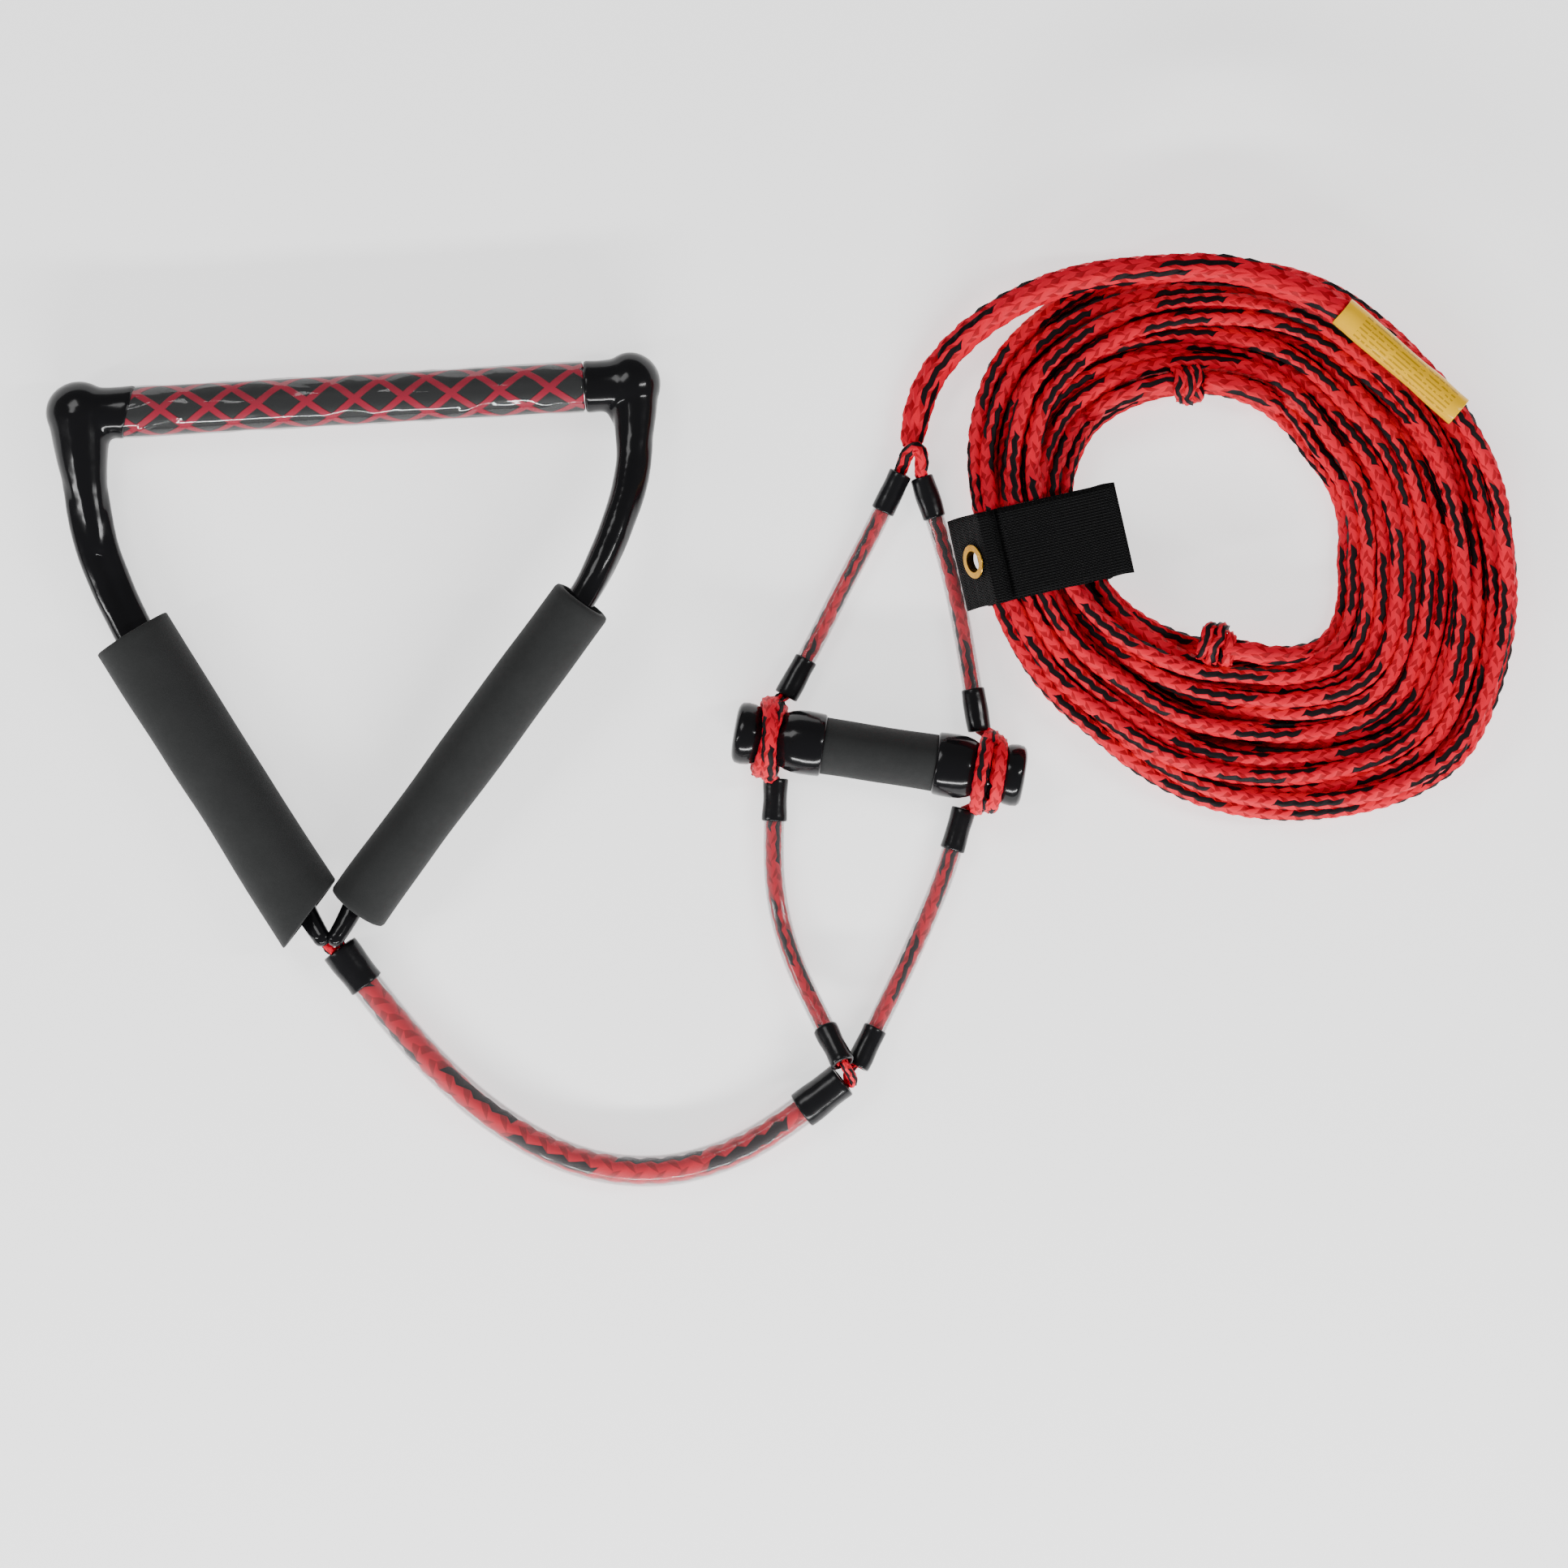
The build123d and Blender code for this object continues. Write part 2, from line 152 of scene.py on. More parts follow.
def grain(made, scale, distance, strength, detail=3.0, stretch=(1, 1, 1)):
    """Fine unevenness of a surface: features per metre, and height in metres."""
    bump(made, noise_over(made, scale, stretch, detail), distance, strength)


def rough(made, scale, low, high, stretch=(1, 1, 1)):
    """Roughness that goes from low to high and back over the surface."""
    value = between(made, noise_over(made, scale, stretch), low, high)
    join(made, value, shader_of(made).inputs["Roughness"])


def colours(made, factor, first, second):
    """Base colour that goes from the first to the second with the factor."""
    mix = add(made, "ShaderNodeMix")
    mix.data_type = "RGBA"
    colour_in = [socket for socket in mix.inputs if socket.type == "RGBA"]
    colour_in[0].default_value = (*first, 1)
    colour_in[1].default_value = (*second, 1)
    join(made, factor, mix.inputs["Factor"])
    colour_out = next(socket for socket in mix.outputs if socket.type == "RGBA")
    join(made, colour_out, shader_of(made).inputs["Base Color"])


def maths(made, kind, first, second=None):
    """One step of arithmetic on sockets or numbers."""
    node = add(made, "ShaderNodeMath")
    node.operation = kind
    for socket, value in zip(node.inputs, (first, second)):
        if value is None:
            continue
        if isinstance(value, (int, float)):
            socket.default_value = value
        else:
            join(made, value, socket)
    return node.outputs["Value"]


def run_along(made, direction, origin=(0.0, 0.0, 0.0)):
    """Distance from an origin along a direction, in the object's own coordinates."""
    dot = add(made, "ShaderNodeVectorMath")
    dot.operation = "DOT_PRODUCT"
    dot.inputs[1].default_value = tuple(direction)
    join(made, add(made, "ShaderNodeTexCoord").outputs["Object"], dot.inputs[0])
    return maths(made, "SUBTRACT", dot.outputs["Value"], float(np.dot(direction, origin)))


def see_through(name, tint, gloss, shine, blend, least, most):
    """Clear plastic: transparent where it faces the eye and glossy along its edges."""
    made = bpy.data.materials.new(name)
    made.use_nodes = True
    made.node_tree.nodes.remove(shader_of(made))
    clear_part = add(made, "ShaderNodeBsdfTransparent", Color=(tint, tint, tint, 1))
    gloss_part = add(made, "ShaderNodeBsdfPrincipled", Base_Color=(*gloss, 1), Roughness=0.07)
    gloss_part.inputs["Specular IOR Level"].default_value = shine
    facing = add(made, "ShaderNodeLayerWeight", Blend=blend)
    mix = add(made, "ShaderNodeMixShader")
    join(made, between(made, facing.outputs["Facing"], least, most), mix.inputs["Fac"])
    join(made, clear_part.outputs["BSDF"], mix.inputs[1])
    join(made, gloss_part.outputs["BSDF"], mix.inputs[2])
    join(made, mix.outputs["Shader"], made.node_tree.nodes["Material Output"].inputs["Surface"])
    return made


def yarn(name, colour):
    """Fine filaments of a braided polyethylene yarn: silky, with a light grain."""
    made = material(name, colour, 0.5, specular_ior_level=0.14)
    grain(made, 900, 0.00025, 0.5, detail=2)
    rough(made, 120, 0.42, 0.62)
    return made


yarn_red = yarn("yarn_red", (0.80, 0.0005, 0.026))
# a darker copy of the red yarn: painted shade for the dip at the foot of each stitch
yarn_painted_shade_red = yarn("yarn_painted_shade_red", (0.42, 0.0003, 0.010))
yarn_black = yarn("yarn_black", (0.006, 0.003, 0.004))
yarns = (yarn_red, yarn_painted_shade_red, yarn_black)

dipped = material("dipped_vinyl", (0.006, 0.006, 0.007), 0.12, specular_ior_level=0.24)
grain(dipped, 55, 0.0011, 0.55, detail=1.5)
rough(dipped, 160, 0.09, 0.2)

sleeve_black = material("sleeve_vinyl", (0.007, 0.007, 0.008), 0.2, specular_ior_level=0.24)
grain(sleeve_black, 110, 0.0006, 0.5, detail=2)
rough(sleeve_black, 220, 0.14, 0.3)

foam = material("closed_cell_foam", (0.016, 0.017, 0.017), 0.85, sheen_weight=0.06,
                sheen_roughness=0.6, specular_ior_level=0.2)
colours(foam, noise_over(foam, 60, detail=4), (0.015, 0.016, 0.016), (0.023, 0.024, 0.024))
grain(foam, 1500, 0.0002, 0.6, detail=2)
grain(foam, 90, 0.0008, 0.25, detail=2)
rough(foam, 300, 0.7, 0.92)

webbing = material("webbing_black", (0.008, 0.008, 0.009), 0.62, specular_ior_level=0.10)
brass = material("brass", (0.60, 0.32, 0.035), 0.25, metallic=1.0)
grain(brass, 300, 0.0002, 0.4)
rough(brass, 260, 0.18, 0.36)


# -------------------- lines and meshes
def nurbs(name, points):
    """A smooth curve whose control points are a rope's route."""
    data = bpy.data.curves.new(name, "CURVE")
    data.dimensions = "3D"
    data.resolution_u = 10
    spline = data.splines.new("NURBS")
    spline.points.add(len(points) - 1)
    for point, place in zip(spline.points, points):
        point.co = (*place, 1.0)
    spline.order_u = 3
    spline.use_endpoint_u = True
    return placed(name, data)


def line_of(route):
    """Points read from the smooth line of a route, in metres."""
    curve = nurbs("route", route)
    mesh = bpy.data.meshes.new_from_object(curve)
    line = points_of(mesh)
    bpy.data.objects.remove(curve)
    return line


def in_metres(route):
    return [tuple(value * mm for value in point) for point in route]


class Line:
    """A rope's centre line with its frames, read at any distance along it."""

    flatness = (1.0, 1.0)       # width and height of a ring, as shares of its radius

    def __init__(self, route, up=(0, 0, 1)):
        self.points = line_of(route)
        runs = np.linalg.norm(np.diff(self.points, axis=0), axis=1)
        self.along = np.concatenate([[0.0], np.cumsum(runs)])
        self.length = self.along[-1]
        self.tangent = unit(np.gradient(self.points, axis=0))
        side = np.cross(self.tangent[0], up)
        sides = []
        for tangent in self.tangent:
            side = side - tangent * side.dot(tangent)
            side = side / np.linalg.norm(side)
            sides.append(side)
        self.side = np.array(sides)
        self.up = np.cross(self.side, self.tangent)

    def read(self, values, at):
        """Values at distances along the line, straight on past its ends."""
        return np.stack([np.interp(at, self.along, values[:, i]) for i in range(3)], axis=-1)

    def centre(self, at):
        past = at - np.clip(at, 0, self.length)
        return self.read(self.points, at) + past[..., None] * self.read(self.tangent, at)

    def ring(self, at, angle, radius):
        """Points at an angle and a radius round the line. Angle 0 is its side, 90 degrees its top."""
        out = self.flatness[0] * np.cos(angle)[..., None] * self.read(self.side, at)
        out = out + self.flatness[1] * np.sin(angle)[..., None] * self.read(self.up, at)
        return self.centre(at) + radius[..., None] * out


def straight(start, end, up=(0, 0, 1)):
    """A straight line between two places."""
    start, end = np.array(start, float), np.array(end, float)
    return Line([start, 0.5 * (start + end), end], up)


def unit(vectors):
    return vectors / np.linalg.norm(vectors, axis=-1, keepdims=True)


def points_of(mesh):
    return np.array([vertex.co for vertex in mesh.vertices])


def move_points(mesh, points):
    mesh.vertices.foreach_set("co", points.ravel())
    mesh.update()


def mesh_of(name, points, faces, slots=None):
    """A smooth-shaded mesh."""
    mesh = bpy.data.meshes.new(name)
    mesh.from_pydata(np.asarray(points).tolist(), [], [tuple(face) for face in faces])
    mesh.polygons.foreach_set("use_smooth", np.ones(len(mesh.polygons), bool))
    if slots is not None:
        mesh.polygons.foreach_set("material_index", np.asarray(slots, np.int32))
    mesh.update()
    return mesh


def finished_mesh(thing):
    """An object's mesh with its modifiers applied."""
    bpy.context.view_layer.update()
    return bpy.data.meshes.new_from_object(thing.evaluated_get(bpy.context.evaluated_depsgraph_get()))


def caps_of(rows, sides):
    """Two flat faces that close the ends of a tube of rings."""
    last = (rows - 1) * sides
    return [list(range(sides))[::-1], list(range(last, last + sides))]


def piece(name, mesh, materials, body, replaces=()):
    """A finished piece that moves with a body and takes the place of some CAD nodes."""
    made = placed(name, mesh)
    for each in materials if isinstance(materials, tuple) else (materials,):
        mesh.materials.append(each)
    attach(made, body)
    if replaces:
        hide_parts(*replaces)
    return made


def grid_faces(rows, columns, closed_rows=False):
    """Quads of a grid whose columns close into rings, and whose rows may close too."""
    row = np.arange(rows if closed_rows else rows - 1)
    column = np.arange(columns)
    first = (row[:, None] * columns + column).ravel()
    right = (row[:, None] * columns + (column + 1) % columns).ravel()
    above = ((row + 1) % rows)[:, None] * columns
    return np.stack(
        [first, right, (above + (column + 1) % columns).ravel(), (above + column).ravel()], axis=1)


def revolved(name, line, profile, sides=32, closed=True, squeeze=1.0, shape=None):
    """Rings round a line. The profile is (distance along the line, radius), in order.
    An open profile is capped. A shape function moves the finished points."""
    at = np.array([place for place, _ in profile])[:, None] * np.ones(sides)
    radius = np.array([r for _, r in profile])[:, None] * np.ones(sides)
    angle = np.ones((len(profile), 1)) * np.linspace(0, 2 * pi, sides, endpoint=False)
    centre = line.centre(at)
    across = (radius * np.cos(angle))[..., None] * line.read(line.side, at)
    upward = (radius * np.sin(angle) * squeeze)[..., None] * line.read(line.up, at)
    points = (centre + across + upward).reshape(-1, 3)
    if shape is not None:
        points = shape(points)
    faces = grid_faces(len(profile), sides, closed).tolist()
    if not closed:
        faces += caps_of(len(profile), sides)
    return mesh_of(name, points, faces)


def wall(start, end, outer, inner, edge, steps):
    """Profile of a hollow tube with rounded rims. The outer radius may be a function."""
    reach = outer if callable(outer) else lambda share: outer
    run = np.linspace(0, 1, steps)
    outside = [(start + edge + (end - start - 2 * edge) * t, reach(t)) for t in run]
    first = [(start, reach(0) - edge), (start + 0.3 * edge, reach(0) - 0.3 * edge)]
    last = [(end - 0.3 * edge, reach(1) - 0.3 * edge), (end, reach(1) - edge)]
    inside = [(end - (end - start) * t, inner) for t in run]
    return first + outside + last + inside


def lumps(points, size, depth, seed):
    """Moves points by smooth noise: size of a lump and greatest depth, in metres."""
    moved = []
    for point in points:
        place = Vector(point) / size + Vector((seed, 2.7 * seed, 0))
        moved.append(np.asarray(point) + depth * np.array(noise.noise_vector(place)))
    return np.array(moved)


# -------------------- braided rope
stitch = 9.4 * mm           # length of one stitch on the plain line
line_wales = 8              # columns of stitches round a rope, leaning left and right in turn
line_dashes = (4, 8)        # black stitches in a row, out of how many


def stitch_height(phase):
    """Height of a yarn over its stitch: it rises from under its neighbour and dips again."""
    return np.interp(phase % 1.0, (0, 0.25, 0.6, 1.0), (0.25, 1.0, 0.9, 0.25))


def ring_places(radius_at, step, end):
    """Distances of the rings, further apart where the rope is thicker."""
    fine = np.linspace(0, end, 4000)
    thick = radius_at(fine)
    rings = np.concatenate([[0], np.cumsum(np.diff(fine) / (step * thick[1:] / thick.min()))])
    return np.interp(np.linspace(0, rings[-1], int(rings[-1]) + 1), rings, fine)


def braid(name, line, radius_at, stitch_length=stitch, relief=0.24, twist=7.0, seed=0,
          wales=line_wales, dashes=line_dashes, end=None):
    """A hollow braid: crest and boundary points in turn round each ring, in a zigzag."""
    at = ring_places(radius_at, stitch_length / 3, end or line.length)
    count = len(at)
    ring = np.arange(2 * wales)
    wale = ring // 2
    crest = ring % 2 == 1
    row = np.arange(count)[:, None]
    phase = (row + 1.5 * (wale % 2)) / 3
    lean = np.where(crest, 0.0, np.where(wale % 2 == 0, -0.55, 0.55))
    place = np.interp(np.clip(row + lean, 0, count - 1), np.arange(count), at)
    height = np.where(crest, stitch_height(phase), 0.0)
    ends = 1 - 0.25 * np.exp(-np.minimum(row, count - 1 - row) / 0.8)
    radius = radius_at(place) * (1 - relief * (1 - height)) * ends
    saw = np.where(crest, 0.0, 0.66 * (phase % 1.0) - 0.33)
    drift = noise_walk(at, seed)[:, None]
    angle = 2 * pi * (ring / (2 * wales) + saw / wales) + twist * place + drift
    points = line.ring(place, angle, radius).reshape(-1, 3)
    faces = grid_faces(count, 2 * wales).tolist() + caps_of(count, 2 * wales)
    # the two end faces take slot 1, the red with painted shade
    return mesh_of(name, points, faces, yarn_slots(count, seed, wales, dashes) + [1, 1])


def noise_walk(at, seed):
    """A slow turn of the braid along the rope, so that its pattern never repeats."""
    return np.array([3.0 * noise.noise(Vector((4.0 * place, seed, 0.5))) for place in at])


def yarn_slots(count, seed, wales, dashes):
    """Bright red, a darker red as painted shade at the foot of each stitch, and black dashes in even
    wales.
    """
    wale = np.arange(2 * wales) // 2
    row = np.arange(count - 1)[:, None]
    step = (row + 1.5 * (wale % 2)) / 3
    number = np.floor(step).astype(int)
    black = (wale % 2 == 0) & ((wale + seed - number) % dashes[1] < dashes[0])
    # the foot of a stitch, where it dips under its neighbour, gets the darker red as painted shade
    foot = (step % 1.0) > 0.6
    return np.where(black, 2, np.where(foot, 1, 0)).ravel().tolist()


def level(radius):
    return lambda at: np.full(np.shape(at), radius)


# -------------------- main line: lead, label run and coil
splice_route = in_metres([
    (304.5, -43.4, -8.6), (309.4, -15.5, -8.6), (331.0, 12.0, -4), (364.0, 33.2, 10),
    (401.5, 44.0, 25.0), (442.0, 45.6, 33.6), (483.5, 44.6, 34.0), (520.5, 30.4, 34.0),
    (542.0, 18.6, 34.0)])
line_route = in_metres([
    (573.6, -12.2, 34.2), (605.4, -42.6, 34.0), (617.6, -64.5, 32.6), (626.0, -88.5, 25.5)])
splice_r = 7.7 * mm
line_r = 4.75 * mm

coil_outer = [
    (335, -40), (338.5, -90), (350, -150), (398, -212), (456, -253), (525, -262.5), (598, -243),
    (632, -172), (631, -92), (597, -12.5), (571, 14.5), (541.5, 37), (470, 52), (400, 42), (352, 6)]
coil_inner = [
    (392, -72), (408, -38), (448, -23), (492, -29), (522, -62), (537, -118), (528, -161),
    (480, -158), (438, -149), (404, -114)]
coil_centre = np.array((482.0, -100.0)) * mm
coil_turns = 26
coil_stations = 36
coil_start = radians(-8)    # the line comes off the label here and goes round clockwise
coil_top = 40 * mm
coil_corner = 9 * mm
settle_rounds = 260
settle_push = 0.3           # share of an overlap that is undone in each round
settle_sink = 0.12 * mm     # how far each turn sinks in each round
line_gap = 9.3 * mm         # between the centres of two turns that touch


def reach_of(outline, angles):
    """Distance of a closed outline from the coil's centre, in each direction."""
    offsets = np.array(outline) * mm - coil_centre
    turns = np.arctan2(offsets[:, 1], offsets[:, 0])
    return np.interp(angles, turns, np.hypot(*offsets.T), period=2 * pi)


def first_lay(turns, stations):
    """Where each turn lies before it settles: share of the width, and height over the floor."""
    picks = (dice.permutation(turns + 1) + 0.5) / (turns + 1)
    levels = dice.uniform(0, 1, turns + 1)
    picks[0], levels[0] = 0.97, 1.0
    goals = np.arange(turns * stations) / stations
    share = np.interp(goals, np.arange(turns + 1), picks)
    height = np.interp(goals, np.arange(turns + 1), levels) * (coil_top - 2 * line_r) + line_r
    return share, height


def smoothed(values, amount):
    """Moves each value towards the middle of its neighbours, but not the first and the last."""
    out = values.copy()
    out[1:-1] += amount * (values[:-2] + values[2:] - 2 * values[1:-1])
    return out


def settle(share, height, width):
    """Pushes turns that touch apart in each section, keeps them in the bundle and fairs the line."""
    lowest = line_r + 0.3 * mm
    start = share[0], height[0]
    for _ in range(settle_rounds):
        across = share.reshape(coil_turns, -1) * width
        rise = height.reshape(coil_turns, -1)
        apart = across[:, None] - across
        above = rise[:, None] - rise
        distance = np.hypot(apart, above) + 1e-6
        push = settle_push * np.clip(line_gap - distance, 0, None) / distance
        across = across + (push * apart).sum(axis=1)
        rise = rise + (push * above).sum(axis=1) - settle_sink
        share = np.clip(across / width, 0, 1)
        crown = coil_top - line_r - coil_corner * (2 * np.abs(share - 0.5)) ** 4
        height = np.clip(rise, lowest, crown).ravel()
        share = share.ravel()
        share[0], height[0] = start
        share, height = smoothed(share, 0.25), smoothed(height, 0.2)
    return share, height


def coil_route():
    """The coil's control points, from the label run to the hidden far end."""
    angles = coil_start - np.arange(coil_stations) / coil_stations * 2 * pi
    inner = reach_of(coil_inner, angles) + line_r
    width = reach_of(coil_outer, angles) - line_r - inner
    share, height = settle(*first_lay(coil_turns, coil_stations), width)
    turned = np.tile(angles, coil_turns)
    reach = np.tile(inner, coil_turns) + share * np.tile(width, coil_turns)
    x = coil_centre[0] + reach * np.cos(turned)
    y = coil_centre[1] + reach * np.sin(turned)
    return list(np.stack([x, y, floor_z + height], axis=1))


main_line = Line(splice_route + line_route + coil_route())
main_line.flatness = (1.08, 0.94)

from_splice = np.linalg.norm(main_line.points[:400] - splice_route[-1], axis=1)
in_label = 14 * mm          # how far the splice runs on inside the label
splice_end = main_line.along[np.argmin(from_splice)] + in_label


def splice_radius(at):
    """The lead is spliced back inside itself, which makes it thicker."""
    return np.interp(at, (0, 0.02, splice_end - 0.01, splice_end),
                     (0.85 * splice_r, splice_r, splice_r, line_r))


main_rope = piece("main_rope", braid("main_rope", main_line, level(line_r), twist=3.0), yarns,
                  "main_line", ("label_line", "rope_coil"))
splice_mesh = braid("splice", main_line, splice_radius, 8.5 * mm, twist=5.0, seed=2, wales=14,
                    dashes=(3, 10), end=splice_end)
splice = piece("lead_splice", splice_mesh, yarns, "main_line", ("spliced_lead",))


# -------------------- ropes in clear tubes, with their sleeves
clear = see_through("clear_tube", 0.96, (0.40, 0.37, 0.38), 0.9, 0.25, 0.06, 0.75)

tail_route = in_metres([
    (-27.4, -304.6, -6.4), (-4.9, -338.4, -7.6), (22.4, -373.6, -8.2), (55.2, -405.6, -8.2),
    (96.0, -430.4, -8.2), (140.5, -438.8, -8.2), (182.5, -430.8, -8.2), (217.2, -412.4, -7.6),
    (242.8, -394.4, -6.4)])
leg_routes = {
    "lower_left": [
        (219.2, -222.6, -10.2), (215.6, -256, -10.2), (215.2, -289, -10.2), (221.6, -321.5, -9.5),
        (234.2, -352.5, -4), (247.6, -382.2, 11.4)],
    "lower_right": [
        (322.6, -245.4, -10.2), (312.6, -275.5, -10.2), (298.8, -304.5, -10.2), (284.2, -333, -9.8),
        (268.9, -360.5, -8.5), (255.0, -385.0, -6.2)],
    "upper_left": [
        (298.0, -57.2, -6.6), (282.7, -85.2, -9.6), (262.8, -117.6, -10.4), (244.6, -149.8, -10.4),
        (227.2, -177.6, -10.4)],
    "upper_right": [
        (309.2, -60.0, -10.4), (318.6, -94, -10.4), (325.2, -130, -10.4), (329.8, -166, -10.4),
        (333.6, -202.9, -10.4)],
}

sleeve_length = 24 * mm
sleeve_wall = 0.7 * mm      # how far a sleeve's bore lies under the tube's surface


def tubed_rope(name, route, body, tube_r, wall_r, sleeve_r, start_sleeve, end_sleeve, stitch_length,
               seed, rope_share=0.92, past=(0.0, 0.0), wales=line_wales, dashes=line_dashes):
    """A rope in a clear tube with a shrunk black sleeve over each end, and some way past it."""
    line = Line(route)
    rope_r = 0.97 * rope_share * (tube_r - wall_r)
    lean = (1 - rope_share) * (tube_r - wall_r)
    wander = [np.array(point) + lean * np.array((cos(2 * i + seed), sin(2 * i + seed), -0.3))
              for i, point in enumerate(route[1:-1])]
    rope_line = Line([route[0], *wander, route[-1]])
    mesh = braid(name, rope_line, level(rope_r), stitch_length, 0.2, 9.0, seed, wales, dashes)
    rope = piece(f"{name}_rope_line", mesh, yarns, body, (f"{name}_rope",))
    steps = int(line.length / (5 * mm))
    inset = 0.3 * sleeve_length
    profile = wall(inset, line.length - inset, tube_r, tube_r - wall_r, 0.2 * mm, steps)
    tube = piece(f"{name}_clear_tube", revolved(name, line, profile, 40), clear, body,
                 (f"{name}_tube",))
    inner_end = line.length - sleeve_length
    for node, start, end in ((start_sleeve, -past[0], sleeve_length),
                             (end_sleeve, inner_end, line.length + past[1])):
        swell = lambda share: sleeve_r * (1 + 0.03 * sin(5 * share + seed))
        profile = wall(start, end, swell, tube_r - sleeve_wall, 0.9 * mm, 12)
        mesh = revolved(node, line, profile, 36, shape=lambda p: lumps(p, 9 * mm, 0.35 * mm, seed))
        piece(f"{node}_dipped", mesh, sleeve_black, body, (node,))
    return line


tubed_rope("tail", tail_route, "tail", 8.75 * mm, 0.7 * mm, 10.4 * mm, "tail_handle_sleeve",
           "tail_bridle_sleeve", 12.5 * mm, 1, rope_share=0.97, past=(1.5 * mm, 4.5 * mm), wales=6,
           dashes=(4, 9))

legs = {}                   # the centre line of each leg of the two bridles
for seed, (name, route) in enumerate(leg_routes.items(), 2):
    lower = name.startswith("lower")
    tube_r, sleeve_r = (5.7 * mm, 6.8 * mm) if lower else (5.4 * mm, 6.6 * mm)
    start, end = ("bar", "apex") if lower else ("apex", "bar")
    legs[name] = tubed_rope(name, in_metres(route), "lower_bridle" if lower else "upper_bridle", tube_r,
                            0.6 * mm, sleeve_r, f"{name}_{start}_sleeve", f"{name}_{end}_sleeve",
                            stitch, seed)


# -------------------- short loops where the ropes meet
def rope_loop(name, points, radius, body, node, seed):
    """A short piece of rope through a set of points, in millimetres."""
    line = Line(in_metres(points))
    mesh = braid(name, line, level(radius), 2 * radius, 0.22, 4.0, seed)
    return piece(name, mesh, yarns, body, (node,))


rope_loop("upper_apex_loop", [
    (296.8, -59, -6.8), (299.5, -52, -6), (303, -45, -3), (308, -43, -1), (310.5, -49, -3),
    (308.8, -57, -7), (309.6, -62, -9)], 4.3 * mm, "upper_bridle", "upper_apex_knot", 1)
rope_loop("lower_apex_loop", [
    (247.0, -380.5, 10), (250.5, -387, 6), (253.0, -392.5, 0), (251.5, -394.8, -5), (249, -391, -9),
    (252, -385, -9), (256, -382, -8)], 3.0 * mm, "lower_bridle", "lower_apex_knot", 2)
rope_loop("handle_loop", [
    (-37, -296.5, 5), (-35, -302, 3), (-31, -305.5, 0), (-27, -304.5, -3), (-27, -299.5, 0),
    (-29, -296, 6)], 2.8 * mm, "handle_knot", "handle_knot", 3)


def wrap_route(centre, along, up, radius, rise, turns):
    """Control points of a rope wound round an axis: a helix with twelve points a turn."""
    across = np.cross(along, up)
    spin = np.linspace(0, turns * 2 * pi, int(12 * turns) + 1)
    lift = np.linspace(-rise, rise, len(spin))
    return [np.array(centre) + radius * (cos(a) * across + sin(a) * up) + s * along
            for a, s in zip(spin, lift)]


def loop_knot(name, centre, along, node, seed):
    """The hitch of an end loop round the inner turns of the coil."""
    route = wrap_route(centre, unit(np.array(along, float)), np.array((0, 0, 1.0)), 8.6 * mm,
                       6.5 * mm, 2.4)
    loose = [point + 1.6 * mm * dice.normal(size=3) for point in route]
    mesh = braid(name, Line(loose), level(4.4 * mm), 8 * mm, twist=4.0, seed=seed)
    return piece(name, mesh, yarns, "main_line", (node,))


top_knot = loop_knot("top_hitch", (0.4579, -0.0175, 0.013), (1, 0.12, 0), "top_loop_knot", 1)
bottom_knot = loop_knot("bottom_hitch", (0.4664, -0.162, 0.013), (1, -0.25, 0), "bottom_loop_knot", 2)


def loop_splice(name, first, last, seed):
    """The thicker, spliced end of the rope on the inside of the coil, between two directions."""
    turned = np.radians(np.linspace(first, last, 9))
    reach = reach_of(coil_inner, turned) + 6.5 * mm + 1.2 * mm * np.sin(3 * turned)
    height = 0.018 - 0.012 * np.linspace(0, 1, 9) ** 2
    line = Line([(*(coil_centre + r * np.array((cos(a), sin(a)))), z)
                 for a, r, z in zip(turned, reach, height)])
    thick = lambda at: 6.4 * mm * np.ones_like(at) * (1 - 0.3 * (at / line.length) ** 3)
    mesh = braid(name, line, thick, 9 * mm, 0.26, 5.0, seed, wales=10, dashes=(2, 7))
    return piece(name, mesh, yarns, "main_line")


loop_splices = [loop_splice("top_splice_left", 106, 140, 1), loop_splice("top_splice_right", 100, 66, 2),
                loop_splice("bottom_splice_right", -101, -62, 3)]


# -------------------- label
label_material = material("label_vinyl", (0.9, 0.5, 0.0), 0.16, specular_ior_level=0.2)
label_from = np.array((0.5426, 0.0182, 0.034))
label_axis = unit(np.array(line_route[1]) - label_from)
label_start = label_from + 2.5 * mm * label_axis
label_length = 85 * mm
label_r = 8.5 * mm


def label_rules():
    """Fine dark lines along the label, on the side that faces up."""
    side = run_along(label_material, np.cross((0, 0, 1), label_axis), label_start)
    run = run_along(label_material, label_axis, label_start)
    height = run_along(label_material, (0, 0, 1), label_start)
    rows = maths(label_material, "PINGPONG", maths(label_material, "DIVIDE", side, 1.25 * mm), 1.0)
    marks = (("GREATER_THAN", rows, 0.62),
             ("GREATER_THAN", noise_over(label_material, 420, detail=1), 0.43),
             ("GREATER_THAN", run, 13 * mm), ("LESS_THAN", run, 78 * mm),
             ("GREATER_THAN", height, 3.0 * mm))
    ink = 0.6
    for kind, value, limit in marks:
        ink = maths(label_material, "MULTIPLY", maths(label_material, kind, value, limit), ink)
    colours(label_material, ink, (0.92, 0.50, 0.0), (0.26, 0.13, 0.0))


label_rules()
grain(label_material, 70, 0.0012, 0.4)
rough(label_material, 150, 0.1, 0.26)
label_line = straight(label_start, label_start + label_length * label_axis)
label_mesh = revolved(
    "label", label_line,
    wall(0, label_length, lambda t: label_r * (1 + 0.02 * sin(9 * t)), 7.6 * mm, 0.35 * mm, 24), 48,
    shape=lambda p: lumps(p, 16 * mm, 0.5 * mm, 4))
label = piece("label_sleeve", label_mesh, label_material, "label", ("label_tube",))


